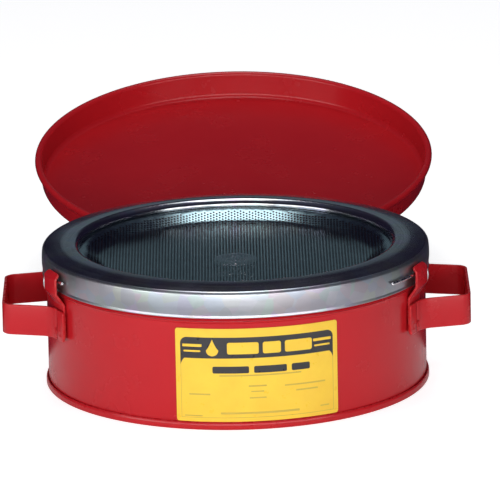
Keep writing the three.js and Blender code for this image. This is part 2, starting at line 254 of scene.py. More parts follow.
def strap(name, line, thickness, width, lift, material, corners=(2.5, 2.5), edge_radius=0.45, crown=0):
    """A flat strap along a 2-D centreline. lift(x, y, across) gives the point in the
    frame. corners are the plan radii of its two ends."""
    lengths = [0.0]
    for a, b in zip(line, line[1:]):
        lengths.append(lengths[-1] + (Vector(b) - Vector(a)).length)
    total = lengths[-1]

    def at(distance):
        distance = max(0.0, min(total, distance))
        i = max(i for i, s in enumerate(lengths[:-1]) if s <= distance + 1e-9)
        share = (distance - lengths[i]) / max(lengths[i + 1] - lengths[i], 1e-9)
        return Vector(line[i]).lerp(Vector(line[i + 1]), share)

    stops = set(lengths)
    for corner, end, sign in ((corners[0], 0, 1), (corners[1], total, -1)):
        for angle in (0, 15, 30, 45, 60, 75, 90):
            stops.add(end + sign * corner * (1 - math.cos(math.radians(angle))))
            stops.add(end + sign * edge_radius * (1 - math.cos(math.radians(angle))))
    stops = sorted(stops)
    stops = [s for i, s in enumerate(stops) if i == 0 or s - stops[i - 1] > 0.004]
    path = [at(s) for s in stops]
    normals = normals_of(path)

    points, edge, faces = [], [], []
    for s, point, normal in zip(stops, path, normals):
        near = min(s, total - s)
        corner = corners[0] if s < total / 2 else corners[1]
        half_wide = width / 2 - drawn_in(near, corner)
        half_thick = thickness / 2 - drawn_in(near, edge_radius) * 0.8
        for through, across in section(half_thick, half_wide, edge_radius):
            bulge = crown * (1 - (2 * across / width) ** 2)
            place = point + normal * (through + bulge)
            points.append(lift(place.x, place.y, across))
            on_side = abs(across) > half_wide - edge_radius * 0.9
            edge.append(1 if on_side else 0)
    ring = len(points) // len(stops)
    for i in range(len(stops) - 1):
        for j in range(ring):
            k = (j + 1) % ring
            faces.append([i * ring + j, i * ring + k, (i + 1) * ring + k, (i + 1) * ring + j])
    faces.append(list(range(ring))[::-1])
    faces.append(list(range((len(stops) - 1) * ring, len(stops) * ring)))
    made = mesh_object(name, points, faces, material, edge, 50)
    outward(made)
    return made


def outward(made):
    """Turns the faces of closed bodies outwards."""
    work = bmesh.new()
    work.from_mesh(made.data)
    bmesh.ops.recalc_face_normals(work, faces=work.faces)
    work.to_mesh(made.data)
    work.free()
    made.data.shade_smooth()


def smooth_path(points, steps=8):
    """A centripetal Catmull-Rom curve through points, in metres."""
    points = [2 * points[0] - points[1]] + points + [2 * points[-1] - points[-2]]
    path = []
    for p0, p1, p2, p3 in zip(points, points[1:], points[2:], points[3:]):
        t1 = (p1 - p0).length ** 0.5
        t2 = t1 + (p2 - p1).length ** 0.5
        t3 = t2 + (p3 - p2).length ** 0.5
        for i in range(steps):
            t = t1 + (t2 - t1) * i / steps
            a1 = p0 * (t1 - t) / t1 + p1 * t / t1
            a2 = p1 * (t2 - t) / (t2 - t1) + p2 * (t - t1) / (t2 - t1)
            a3 = p2 * (t3 - t) / (t3 - t2) + p3 * (t - t2) / (t3 - t2)
            b1 = a1 * (t2 - t) / t2 + a2 * t / t2
            b2 = a2 * (t3 - t) / (t3 - t1) + a3 * (t - t1) / (t3 - t1)
            path.append(b1 * (t2 - t) / (t2 - t1) + b2 * (t - t1) / (t2 - t1))
    return path + [points[-2]]


def rod(name, path, radius, material, sides=16, dome=0.9):
    """A round wire along a path in metres, with domed ends. radius is in millimetres."""
    radius *= MM
    tangents = []
    for i, _ in enumerate(path):
        tangents.append((path[min(i + 1, len(path) - 1)] - path[max(i - 1, 0)]).normalized())
    side = tangents[0].orthogonal().normalized()
    rings = []
    for point, along in zip(path, tangents):
        side = (side - along * side.dot(along)).normalized()
        rings.append((point, along, side, 1.0))
    angles = [math.radians(a) for a in (20, 40, 60, 78)]

    def domed(ring, sign, order):
        point, along, side, _ = ring
        return [
            (point + along * sign * radius * dome * math.sin(a), along, side, math.cos(a)) for a in order
        ]

    rings = domed(rings[0], -1, angles[::-1]) + rings + domed(rings[-1], 1, angles)
    points, faces = [], []
    for point, along, side, scale in rings:
        other = along.cross(side)
        for j in range(sides):
            a = 2 * math.pi * j / sides
            points.append(point + (side * math.cos(a) + other * math.sin(a)) * radius * scale)
    for i in range(len(rings) - 1):
        for j in range(sides):
            k = (j + 1) % sides
            faces.append([i * sides + j, i * sides + k, (i + 1) * sides + k, (i + 1) * sides + j])
    faces.append(list(range(sides))[::-1])
    faces.append(list(range((len(rings) - 1) * sides, len(rings) * sides)))
    return mesh_object(name, points, faces, material, [0] * len(points), 60)


def joined(name, objects):
    """Several meshes as one object."""
    points, faces, edge = [], [], []
    for o in objects:
        start = len(points)
        points += [v.co.copy() for v in o.data.vertices]
        faces += [[start + i for i in f.vertices] for f in o.data.polygons]
        layer = o.data.attributes.get("edge")
        edge += [d.value for d in layer.data] if layer else [0] * len(o.data.vertices)
    material = objects[0].data.materials[0]
    for o in objects:
        bpy.data.objects.remove(o)
    return mesh_object(name, points, faces, material, edge, 45)


def finished(made, body, slot, *nodes):
    """Ties a piece to its body and hides the CAD nodes it stands for. slot, its finish, is not used."""
    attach(made, body)
    if nodes:
        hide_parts(*nodes)
    return made


# ------------------------------------------------------------------- materials
class Finish:
    """A node material with short calls for the nodes that the finishes share."""

    def __init__(self, name, color, metallic, roughness, **uniform):
        self.material = bpy.data.materials.new(name)
        self.material.use_nodes = True
        self.nodes = self.material.node_tree.nodes
        self.links = self.material.node_tree.links
        self.shader = self.nodes["Principled BSDF"]
        self.shader.inputs["Base Color"].default_value = (*color, 1)
        self.shader.inputs["Metallic"].default_value = metallic
        self.shader.inputs["Roughness"].default_value = roughness
        for key, value in uniform.items():
            self.shader.inputs[key.replace("_", " ")].default_value = value
        self.place = self.nodes.new("ShaderNodeTexCoord").outputs["Object"]

    def math(self, operation, a, b=0.0):
        node = self.nodes.new("ShaderNodeMath")
        node.operation = operation
        for socket, value in zip(node.inputs, (a, b)):
            self.feed(socket, value)
        return node.outputs[0]

    def feed(self, socket, value):
        if isinstance(value, (int, float, tuple)):
            socket.default_value = value
        else:
            self.links.new(value, socket)

    def noise(self, scale, detail=3.0, vector=None, roughness=0.55):
        node = self.nodes.new("ShaderNodeTexNoise")
        node.inputs["Scale"].default_value = scale
        node.inputs["Detail"].default_value = detail
        node.inputs["Roughness"].default_value = roughness
        self.links.new(vector or self.place, node.inputs["Vector"])
        return node.outputs["Fac"]

    def cells(self, scale):
        node = self.nodes.new("ShaderNodeTexVoronoi")
        node.inputs["Scale"].default_value = scale
        self.links.new(self.place, node.inputs["Vector"])
        return node.outputs["Color"]

    def spread(self, value, low, high, start=0.3, end=0.7):
        node = self.nodes.new("ShaderNodeMapRange")
        self.links.new(value, node.inputs["Value"])
        for key, number in (("From Min", start), ("From Max", end), ("To Min", low), ("To Max", high)):
            node.inputs[key].default_value = number
        return node.outputs["Result"]

    def mixed(self, share, a, b, blend="MIX"):
        node = self.nodes.new("ShaderNodeMix")
        node.data_type = "RGBA"
        node.blend_type = blend
        self.feed(node.inputs["Factor"], share)
        for key, value in (("A", a), ("B", b)):
            socket = [s for s in node.inputs if s.name == key and s.type == "RGBA"][0]
            self.feed(socket, (*value, 1) if isinstance(value, tuple) else value)
        return [s for s in node.outputs if s.type == "RGBA"][0]

    def edge(self):
        node = self.nodes.new("ShaderNodeAttribute")
        node.attribute_name = "edge"
        return node.outputs["Fac"]

    def turned_place(self, along=0.0):
        """Coordinates that change across a turned piece but hardly round it."""
        apart = self.nodes.new("ShaderNodeSeparateXYZ")
        self.links.new(self.place, apart.inputs[0])
        x, y, z = apart.outputs
        radius = self.math("SQRT", self.math("ADD", self.math("MULTIPLY", x, x), self.math("MULTIPLY", y, y)))
        together = self.nodes.new("ShaderNodeCombineXYZ")
        self.links.new(radius, together.inputs[0])
        self.links.new(self.math("MULTIPLY", self.math("ARCTAN2", y, x), along), together.inputs[1])
        self.links.new(z, together.inputs[2])
        return together.outputs[0]

    def bump(self, height, distance, strength=1.0, under=None):
        node = self.nodes.new("ShaderNodeBump")
        node.inputs["Strength"].default_value = strength
        node.inputs["Distance"].default_value = distance
        self.links.new(height, node.inputs["Height"])
        if under:
            self.links.new(under, node.inputs["Normal"])
        return node.outputs["Normal"]

    def set(self, key, value):
        self.links.new(value, self.shader.inputs[key])


def red_enamel():
    """Glossy baked enamel: fine orange peel, faint clouds, thin and dull on cut edges,
    and near-black in the can's interior, which is painted shade."""
    made = Finish("red_enamel", (0.5, 0.011, 0.014), 0, 0.25, Specular_IOR_Level=0.36)
    cloud = made.spread(made.noise(14, 4), 0, 1)
    tint = made.mixed(cloud, (0.485, 0.0105, 0.0165), (0.525, 0.0125, 0.0185))
    cut = made.math("MAXIMUM", made.edge(), 0)
    worn = made.math("MULTIPLY", cut, made.spread(made.noise(260, 3), 0, 0.55, 0.42, 0.72))
    outside = made.mixed(worn, tint, (0.62, 0.07, 0.06))
    # Painted shade: faces in the can's interior are painted near-black, standing in for the dark inside the
    # can.
    inside = made.spread(made.edge(), 1, 0, INSIDE, 0)
    made.set("Base Color", made.mixed(inside, outside, (0.03, 0.01, 0.011)))
    smudge = made.spread(made.noise(32, 5), 0.23, 0.29)
    made.set("Roughness", made.math("ADD", smudge, made.math("MULTIPLY", worn, 0.2)))
    peel = made.bump(made.noise(620, 2), 0.00008, 0.35)
    made.set("Normal", made.bump(made.noise(22, 2), 0.0003, 0.12, peel))
    return made.material


def zinc():
    """Drawn galvanised sheet: soft spangle, circular draw marks and faint smears,
    smooth on top and dulled by handling on the outer skirt."""
    made = Finish("zinc_sheet", (0.6, 0.61, 0.65), 1, 0.27)
    ring = made.turned_place(0.0015)
    marks = made.noise(1500, 3, ring)
    spangle = made.cells(120)
    base = made.mixed(made.spread(made.noise(26, 4), 0, 1), (0.38, 0.39, 0.43), (0.46, 0.47, 0.505))
    made.set("Base Color", made.mixed(0.08, base, spangle, "OVERLAY"))
    smear = made.spread(made.noise(40, 5), 0.16, 0.21)
    apart = made.nodes.new("ShaderNodeSeparateXYZ")
    made.links.new(ring, apart.inputs[0])
    radius = apart.outputs[0]
    dull = made.math("ADD", smear, made.spread(radius, 0, 0.2, 0.1165, 0.1178))
    made.set("Roughness", made.math("ADD", dull, made.spread(marks, -0.03, 0.04)))
    fine = made.bump(marks, 0.00003, 0.5)
    made.set("Normal", made.bump(made.noise(18, 2), 0.0005, 0.12, fine))
    return made.material


def screen_metal():
    """Dark perforated sheet with a patchy blue-green cast."""
    made = Finish("screen_metal", (0.3, 0.42, 0.46), 1, 0.2)
    patch = made.spread(made.noise(30, 4), 0, 1)
    made.set("Base Color", made.mixed(patch, (0.19, 0.28, 0.31), (0.27, 0.365, 0.395)))
    made.set("Roughness", made.spread(made.noise(300, 3), 0.15, 0.24))
    made.set("Normal", made.bump(made.noise(900, 2), 0.00003, 0.15))
    return made.material


def bright_wire():
    """Bright drawn wire, finely mottled."""
    made = Finish("bright_wire", (0.72, 0.72, 0.74), 1, 0.22)
    made.set("Roughness", made.spread(made.noise(500, 4), 0.15, 0.33))
    patch = made.spread(made.noise(90, 3), 0, 1)
    made.set("Base Color", made.mixed(patch, (0.62, 0.62, 0.64), (0.8, 0.8, 0.82)))
    made.set("Normal", made.bump(made.noise(1200, 3), 0.00004, 0.4))
    return made.material


def film(name, color, shade, roughness=0.32):
    """Printed film: nearly even colour, faint mottling, soft gloss."""
    made = Finish(name, color, 0, roughness, Coat_Weight=0.25, Coat_Roughness=0.12)
    made.set("Base Color", made.mixed(made.spread(made.noise(60, 4), 0, 1), color, shade))
    made.set("Roughness", made.spread(made.noise(180, 4), roughness - 0.06, roughness + 0.08))
    made.set("Normal", made.bump(made.noise(700, 2), 0.00004, 0.3))
    return made.material


RED, ZINC, SCREEN, WIRE = red_enamel(), zinc(), screen_metal(), bright_wire()
YELLOW = film("label_yellow", (0.93, 0.61, 0.045), (0.88, 0.55, 0.038))
BLACK = film("label_black", (0.018, 0.018, 0.022), (0.03, 0.03, 0.034))
FAINT = film("label_faint", (0.55, 0.38, 0.05), (0.62, 0.44, 0.06))


# ------------------------------------------------------------------- reservoir
def plain(outline):
    """Outline points with no cut edge among them."""
    return [(point, 0) for point in outline]


def body_shell():
    """Wall with a bead under the ring, and a curled mouth."""
    middle = WALL - SHEET / 2
    out = middle + BEAD_DEPTH
    corners = [
        (middle, SHEET + GAP + SHEET / 2),
        (middle, BEAD_LOW),
        (out, BEAD_LOW + BEAD_DEPTH),
        (out, BEAD_HIGH - BEAD_DEPTH),
        (middle, BEAD_HIGH),
        (middle, NECK_TOP - NECK_CURL - 0.5),
    ]
    line = rounded(corners, [1.6, 1.2, 0.28, 1.2])
    centre = (WALL - NECK_CURL, NECK_TOP - NECK_CURL)
    line += arc(*centre, NECK_CURL - SHEET / 2, 0, 235, 20)
    made = turned("body_shell", sheet_outline(line, SHEET, left_mark=INSIDE), RED)
    return finished(made, "can", "red_paint", "can_body")


def chime_panel():
    """Recessed bottom with a raised bead, its edge turned up round the wall."""
    middle = PANEL + SHEET / 2
    raised = middle + PANEL_BEAD_RISE
    slope = 2.5
    seam = WALL - SHEET - GAP - SHEET / 2
    outer = CHIME_RADIUS - SHEET / 2
    foot = SHEET / 2
    corners = [
        (0, middle),
        (PANEL_BEAD_IN, middle),
        (PANEL_BEAD_IN + slope, raised),
        (PANEL_BEAD_OUT - slope, raised),
        (PANEL_BEAD_OUT, middle),
        (seam, middle),
        (seam, foot),
        (outer, foot),
        (outer, CHIME_TOP - 1.6),
        (outer - 0.4, CHIME_TOP - SHEET / 2),
    ]
    line = rounded(corners, [3, 2, 2, 3, 1.4, 0.5, 0.8, 2])
    outline = sheet_outline(line, SHEET, open_start=True, left_mark=INSIDE)
    made = turned("chime_panel", outline, RED)
    return finished(made, "can", "red_paint", "bottom_panel")


def clamp_ring():
    """Barrelled skirt with a flared hem, a crowned top and a rolled throat. Each
    corner of the sheet's middle comes with the radius that rounds it."""
    skin = SHEET / 2
    start = (RING_BELLY - 0.95, RING_HEM + skin)
    corners = [
        ((RING_BELLY - 1.35, RING_HEM + 1.7), 1.0),
        ((RING_BELLY - 0.65, RING_HEM + 6.4), 30),
        ((RING_BELLY - 0.8, RING_HEM + 11.9), 30),
        ((RING_BELLY - 1.2, RING_TOP - 2.7), 2.1),
        ((106, RING_TOP - 0.8), 30),
        ((RING_THROAT, RING_TOP - skin), RING_CROWN),
    ]
    end = (RING_THROAT, RING_TOP - RING_LIP_DROP)
    points, radii = zip(*corners)
    line = rounded([start, *points, end], radii, 4)
    made = turned("clamp_ring", sheet_outline(line, SHEET), ZINC)
    return finished(made, "can", "galvanised_steel", "screen_ring")


# ------------------------------------------------------------------------- pan
def perforated():
    """Plan of the perforated part: six-sided cells, each with a round hole, in
    staggered columns. Gives points, faces and the outer boundary in order."""
    column = HOLE_PITCH * math.sqrt(3) / 2
    cell = HOLE_PITCH / math.sqrt(3)
    count = int(HOLE_REACH / column) + 1
    index, points, faces = {}, [], []

    def vertex(x, y):
        key = (round(x, 3), round(y, 3))
        if key not in index:
            index[key] = len(points)
            points.append((x, y))
        return index[key]

    for j in range(-count, count + 1):
        for i in range(-count, count + 1):
            cx, cy = j * column, (i + (j % 2) / 2) * HOLE_PITCH
            if math.hypot(cx, cy) > HOLE_REACH:
                continue
            outer, inner = [], []
            for s in range(HOLE_SIDES):
                a = math.radians(360 / HOLE_SIDES * s)
                reach = cell * (math.sqrt(3) / 2 if s % 2 else 1)
                outer.append(vertex(cx + reach * math.cos(a), cy + reach * math.sin(a)))
                inner.append(vertex(cx + HOLE / 2 * math.cos(a), cy + HOLE / 2 * math.sin(a)))
            for s in range(HOLE_SIDES):
                t = (s + 1) % HOLE_SIDES
                faces.append([inner[s], outer[s], outer[t], inner[t]])

    # Edges of one face only bound the holes or the whole; the walk starts on the whole's.
    uses = {}
    for face in faces:
        uses.update(dict.fromkeys(zip(face, face[1:] + face[:1])))
    follows = {a: b for a, b in uses if (b, a) not in uses}
    start = max(follows, key=lambda v: points[v][0])
    loop, here = [start], follows[start]
    while here != start:
        loop.append(here)
        here = follows[here]
    return points, faces, loop


def pan_height(radius):
    """Floor, a soft bend, the slope, a soft bend and the flange."""
    slope = (PAN_RIM_Z - PAN_FLOOR_Z) / (PAN_RIM - PAN_FLOOR)
    rise = slope * (math.hypot(radius - PAN_FLOOR, PAN_FLOOR_BEND) + radius - PAN_FLOOR) / 2
    top = slope * (math.hypot(radius - PAN_RIM, PAN_RIM_BEND) + radius - PAN_RIM) / 2
    return PAN_FLOOR_Z + min(rise - top, PAN_RIM_Z - PAN_FLOOR_Z)


def mesh_pan():
    """Perforated dish: holes over the floor and the slope, a plain margin, and a flat
    flange under the ring's lip. It is the upper face of the sheet, since so many
    holes leave no room for walls in the mesh."""
    points, faces, loop = perforated()
    for radius in (PAN_RIM - 0.35, PAN_RIM + 0.5, PAN_RIM + 1.6, PAN_FLANGE):
        outer = []
        for v in loop:
            a = math.atan2(points[v][1], points[v][0])
            outer.append(len(points))
            points.append((radius * math.cos(a), radius * math.sin(a)))
        for s, here in enumerate(loop):
            t = (s + 1) % len(loop)
            faces.append([loop[t], here, outer[s], outer[t]])
        loop = outer
    dished = [placed(x, y, pan_height(math.hypot(x, y))) for x, y in points]
    made = mesh_object("mesh_pan", dished, faces, SCREEN, None, 60)
    outward_up(made)
    return finished(made, "pan", "screen_steel", "perforated_pan")


def outward_up(made):
    """Turns every face of a dish so that it looks up."""
    if sum(face.normal.z * face.area for face in made.data.polygons) < 0:
        made.data.flip_normals()


def spring_cup(name, node, bore, floor, direction):
    """A pressed cup for one end of the spring."""
    middle = SEAT_SHEET / 2
    wall = SEAT_RADIUS - middle
    line = rounded([(bore + middle, middle), (wall, middle), (wall, SEAT_LIP - middle)], [0.9], 12)
    outline = []
    for (radius, height), mark in sheet_outline(line, SEAT_SHEET):
        outline.append((Vector((radius, floor + direction * height)), mark))
    made = turned(name, outline, ZINC, 96)
    return finished(made, "pan" if direction < 0 else "can", "galvanised_steel", node)


def guide_sleeve():
    """Tube that guides the pan's stem, its mouth eased."""
    wall = TUBE_RADIUS - TUBE_BORE
    middle = TUBE_BORE + wall / 2
    line = [(middle, SEAT_LOW + wall / 2), (middle, high("guide_tube").z - wall / 2)]
    made = turned("guide_sleeve", sheet_outline(line, wall), ZINC, 72)
    return finished(made, "can", "galvanised_steel", "guide_tube")


def guide_plunger():
    """Round stem with a chamfered end and a groove."""
    start, end = low("guide_stem").z, high("guide_stem").z
    corners = [
        (0, start),
        (STEM_RADIUS - 1, start),
        (STEM_RADIUS, start + 1),
        (STEM_RADIUS, start + 5),
        (STEM_RADIUS - 0.5, start + 5.5),
        (STEM_RADIUS, start + 6),
        (STEM_RADIUS, end),
        (0, end),
    ]
    outline = plain(rounded(corners, [0.3, 0.3, 0.15, 0.15, 0.15, 0.2], 15))
    made = turned("guide_plunger", outline, ZINC, 72, 30)
    return finished(made, "pan", "galvanised_steel", "guide_stem")


def spring_coil():
    """Compression spring with a nearly flat turn at each end."""
    start = SEAT_LOW + SEAT_SHEET + GAP + SPRING_WIRE
    end = SEAT_HIGH - SEAT_SHEET - GAP - SPRING_WIRE
    flat = 2 * SPRING_WIRE * 1.15
    rise = end - start - 2 * flat * DEAD_TURNS
    path = []
    steps = 40 * SPRING_TURNS
    for i in range(steps + 1):
        turn = SPRING_TURNS * i / steps
        climbed = max(0.0, min(1.0, (turn - DEAD_TURNS) / (SPRING_TURNS - 2 * DEAD_TURNS)))
        ends = min(turn, DEAD_TURNS) + max(turn - SPRING_TURNS + DEAD_TURNS, 0)
        a = 2 * math.pi * turn
        height = start + ends * flat + climbed * rise
        path.append(placed(SPRING_RADIUS * math.cos(a), SPRING_RADIUS * math.sin(a), height))
    made = rod("spring_coil", path, SPRING_WIRE, WIRE, 12, 0.3)
    finished(made, "can", "spring_wire", "return_spring")
    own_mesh(made)
    return made


# -------------------------------------------------------- handles and brackets
def handle(side, mirror):
    """Flat strap bent round the fingers, its feet laid on the wall and the bracket."""
    rear = WALL + GAP + HANDLE_STRAP / 2
    front = rear + BRACKET_STRAP + 2 * GAP

    def half(radius, sign):
        foot = arc(0, 0, radius, sign * FOOT_ANGLE, sign * (FOOT_ANGLE - FOOT_ARC), 2)
        return foot + [(math.sqrt(radius**2 - LEG_Y**2), sign * LEG_Y), (GRIP_X, sign * GRIP_Y)]

    corners = half(front, -1) + half(rear, 1)[::-1]
    flow = WALL / 2  # keeps the feet on the wall's own curve
    line = rounded(corners, [flow, flow, LEG_BEND, GRIP_BEND, GRIP_BEND, LEG_BEND, flow, flow], 5)
    middle = HANDLE_LOW + HANDLE_WIDTH / 2

    def lift(x, y, across):
        return placed(mirror * x, y, middle + across)

    made = strap(f"handle_{side}", line, HANDLE_STRAP, HANDLE_WIDTH, lift, RED, (2, 2), 0.5)
    return finished(made, "can", "red_paint", f"{side}_handle")


def hook_bracket(side, mirror):
    """Upright strip that steps out past the skirt and hooks over the pin."""
    pad = WALL + GAP + BRACKET_STRAP / 2
    line = rounded(
        [
            (pad, BRACKET_LOW),
            (pad, BRACKET_KNEE),
            (BRACKET_HOOK, RING_HEM),
            (BRACKET_HOOK, PIN_Z + 1.8),
            (RING_BELLY + 0.8, PIN_Z + 4.6),
        ],
        [3, 3, 1.6],
        8,
    )
    a = math.radians(BRACKET_AZIMUTH) * mirror
    out = Vector((math.sin(a), -math.cos(a)))
    aside = Vector((math.cos(a), math.sin(a)))

    def lift(x, y, across):
        spot = out * x + aside * across
        return placed(spot.x, spot.y, y)

    made = strap(f"hook_bracket_{side}", line, BRACKET_STRAP, BRACKET_WIDTH, lift, RED, (1.5, 3.0), 0.4)
    return finished(made, "can", "red_paint", f"{side}_bracket")


def locking_wire(side, mirror):
    """Wire along the skirt with a turned-down tail behind the bracket."""
    front = PIN_FRONT[side]
    reach = PIN_BACK - 1.5 - front
    spots = [(front + reach * i / 5, PIN_RADIUS, PIN_Z) for i in range(6)]
    spots += [
        (PIN_BACK - 0.25, PIN_RADIUS + 0.1, PIN_Z - 0.5),
        (PIN_BACK + 0.25, PIN_RADIUS + 0.6, PIN_Z - 2.2),
        (PIN_BACK + 0.25, PIN_RADIUS + 1, PIN_Z - 5),
        (PIN_BACK + 0.15, PIN_RADIUS + 0.6, PIN_Z - 8.5),
    ]
    path = smooth_path([around(mirror * azimuth, radius, z) for azimuth, radius, z in spots])
    made = rod(f"locking_wire_{side}", path, PIN_WIRE, WIRE)
    return finished(made, f"{side}_pin", "galvanised_steel", f"{side}_retaining_pin")


def spot_welds(name, spots):
    """Shallow round weld marks: a dished middle inside a low ring. Each spot is a
    point in the frame and the way that it faces."""
    profile = [(0, 0.02), (0.9, 0.03), (1.5, 0.13), (1.95, 0.2), (2.35, 0.12), (2.6, -0.05)]
    steps = 24
    points, faces = [], []
    for centre, facing in spots:
        side = facing.cross(UP).normalized()
        other = side.cross(facing)
        start = len(points)
        points.append(centre + facing * profile[0][1] * MM)
        for radius, rise in profile[1:]:
            for i in range(steps):
                a = 2 * math.pi * i / steps
                aside = (side * math.cos(a) + other * math.sin(a)) * radius
                points.append(centre + aside * MM + facing * rise * MM)
        for i in range(steps):
            j = (i + 1) % steps
            faces.append([start, start + 1 + j, start + 1 + i])
            for r in range(len(profile) - 2):
                a, b = start + 1 + r * steps, start + 1 + (r + 1) * steps
                faces.append([a + i, a + j, b + j, b + i])
    made = mesh_object(name, points, faces, RED, None, 60)
    if made.data.polygons[0].normal.dot(spots[0][1]) < 0:
        made.data.flip_normals()
    return finished(made, "can", "red_paint")


def foot_welds(side, mirror):
    """Two marks side by side near the bottom of the handle's front foot."""
    radius = WALL + GAP + HANDLE_STRAP + BRACKET_STRAP + 2 * GAP
    spots = []
    for azimuth in (BRACKET_AZIMUTH - 3.2, BRACKET_AZIMUTH + 0.2):
        facing = around(mirror * azimuth, 1, -STAND).normalized()
        spots.append((around(mirror * azimuth, radius, HANDLE_LOW + 4.6), facing))
    rear = WALL + GAP + HANDLE_STRAP
    for z in (HANDLE_LOW + 5, HANDLE_LOW + 14):
        azimuth = mirror * (90 + FOOT_ANGLE - 3)
        facing = around(azimuth, 1, -STAND).normalized()
        spots.append((around(azimuth, rear, z), facing))
    return spot_welds(f"foot_welds_{side}", spots)


# --------------------------------------------------------------- lid and hinge
LID_JOINT = next(j for j in frame["joints"] if j["name"] == "lid_hinge")
LID_SWING = (
    Matrix.Translation(LID_JOINT["pos_m"])
    @ Matrix.Rotation(-math.radians(LID_JOINT["range_deg"][1]), 4, "X")
    @ Matrix.Translation(-Vector(LID_JOINT["pos_m"]))
)


def opened(x, y, z):
    """A point of the lid in its closed place, swung to where it rests open."""
    return LID_SWING @ placed(x, y, z)


def lid_shell():
    """Drawn lid: flat plate, a soft corner, a slightly tapered skirt and a rolled edge."""
    ceiling = LID_RIM_Z + LID_DEPTH + SHEET / 2
    skirt = LID_ROLL_X - LID_ROLL + SHEET / 2
    corners = [(0, ceiling), (skirt - LID_TAPER, ceiling), (skirt, LID_RIM_Z + LID_ROLL + 1)]
    line = rounded(corners, [LID_CORNER - SHEET / 2], 7)
    line = line[:-1] + arc(LID_ROLL_X, LID_RIM_Z + LID_ROLL, LID_ROLL - SHEET / 2, 180, 448, 30)
    made = turned("lid_shell", sheet_outline(line, SHEET, open_start=True), RED, ROUND, 40, opened)
    return finished(made, "lid", "red_paint", "lid")


def tangent_roll(start, end_angle, clockwise):
    """A line from a point to the hinge barrel's centreline, and round it."""
    centre = Vector((HINGE_Y, HINGE_Z))
    radius = (HINGE_BARREL + HINGE_BORE) / 2
    away = Vector(start) - centre
    lean = math.acos(radius / away.length) * (1 if clockwise else -1)
    touch = math.degrees(math.atan2(away.y, away.x) + lean)
    return arc(*centre, radius, touch, touch + end_angle * (-1 if clockwise else 1), 30)


def hinge_leaf_can():
    """Curved foot, two arms rolled round the pin, and the tongue that stops the lid."""
    foot_radius = WALL + GAP + HINGE_STRAP / 2
    reach = math.degrees(math.asin(HINGE_WIDTH / 2 / foot_radius))
    middle = HINGE_FOOT_LOW + HINGE_FOOT_TALL / 2

    def lift(x, y, across):
        return placed(x, y, middle + across)

    foot = arc(0, 0, foot_radius, 90 - reach, 90 + reach, 16)
    parts = [strap("foot", foot, HINGE_STRAP, HINGE_FOOT_TALL, lift, RED, (2.5, 2.5), 0.4)]
    arm_width = (HINGE_WIDTH - KNUCKLE) / 2 - GAP
    arm_y = foot_radius + GAP
    roll = tangent_roll((arm_y, ARM_BEND_Z), 290, False)
    corners = [(arm_y, ARM_LOW), (arm_y, ARM_BEND_Z), roll[0]]
    for side in (-1, 1):
        centre = side * (HINGE_WIDTH - arm_width) / 2

        def lift_arm(x, y, across, centre=centre):
            return placed(centre + across, x, y)

        line = rounded(corners, [4], 8) + roll[1:]
        parts.append(strap("arm", line, HINGE_STRAP, arm_width, lift_arm, RED, (1.5, 0.8), 0.35))
    tongue = rounded([(arm_y, TONGUE_LOW), (arm_y, TONGUE_Z), (HINGE_Y - 1.2, TONGUE_Z)], [2.5], 8)

    def lift_tongue(x, y, across):
        return placed(across, x, y)

    parts.append(strap("tongue", tongue, HINGE_STRAP, TONGUE_WIDTH, lift_tongue, RED, (1.5, 2.5), 0.35))
    return finished(joined("hinge_leaf_can", parts), "can", "red_paint", "body_hinge_leaf")


def hinge_leaf_lid():
    """Strap rolled round the pin, up outside the rolled edge, and in to the skirt."""
    pad_y = LID_ROLL_X - LID_ROLL + SHEET + GAP + HINGE_STRAP / 2
    radius = (HINGE_BARREL + HINGE_BORE) / 2
    out_y = HINGE_Y + radius
    roll = arc(HINGE_Y, HINGE_Z, radius, -290, 0, 30)
    corners = [roll[-1], (out_y, LEAF_BEND_Z), (pad_y, LEAF_PAD_LOW), (pad_y, LEAF_PAD_TOP)]
    line = roll[:-1] + rounded(corners, [2.5, 2.5], 8)

    def lift(x, y, across):
        return opened(across, x, y)

    made = strap("hinge_leaf_lid", line, HINGE_STRAP, KNUCKLE - 2 * GAP, lift, RED, (0.8, 2.5), 0.35)
    return finished(made, "lid", "red_paint", "lid_hinge_leaf")


def hinge_rod():
    """Round pin with peened ends."""
    half = high("hinge_pin").x
    radius = (high("hinge_pin").z - low("hinge_pin").z) / 2
    head = radius + 0.55
    end = [(head, half), (head, half - 0.9), (radius, half - 1.3)]
    corners = [(0, -half)] + [(r, -z) for r, z in end] + end[::-1] + [(0, half)]
    outline = rounded(corners, [0.6, 0.2, 0.2, 0.2, 0.2, 0.6], 15)

    def place(x, y, z):
        return placed(z, HINGE_Y + x, HINGE_Z + y)

    made = turned("hinge_rod", plain(outline), WIRE, 36, 40, place)
    return finished(made, "can", "galvanised_steel", "hinge_pin")


# ----------------------------------------------------------------------- label
LABEL_WIDE = math.radians(LABEL_RIGHT - LABEL_LEFT) * LABEL_FACE
LABEL_TALL = LABEL_HIGH - LABEL_LOW
LABEL_CORNER, LABEL_MARGIN, FRAME_LINE = 1.6, 3.0, 0.35
BAND_LOW, BAND_HIGH = 44.6 - LABEL_LOW, 57.6 - LABEL_LOW
BAND_CORNER, BAND_TAIL, TAIL_WIDTH = 4.0, 4.2, 2.8
BLACK_LIFT, YELLOW_LIFT, FAINT_LIFT = 0.05, 0.1, 0.03

# From the label's left edge: where each bar starts and ends.
HEADINGS = ((31.5, 50.5), (53.0, 64.0), (66.5, 83.5))
TITLES = ((22.5, 44.5), (47.5, 67.5), (70.5, 82.0))
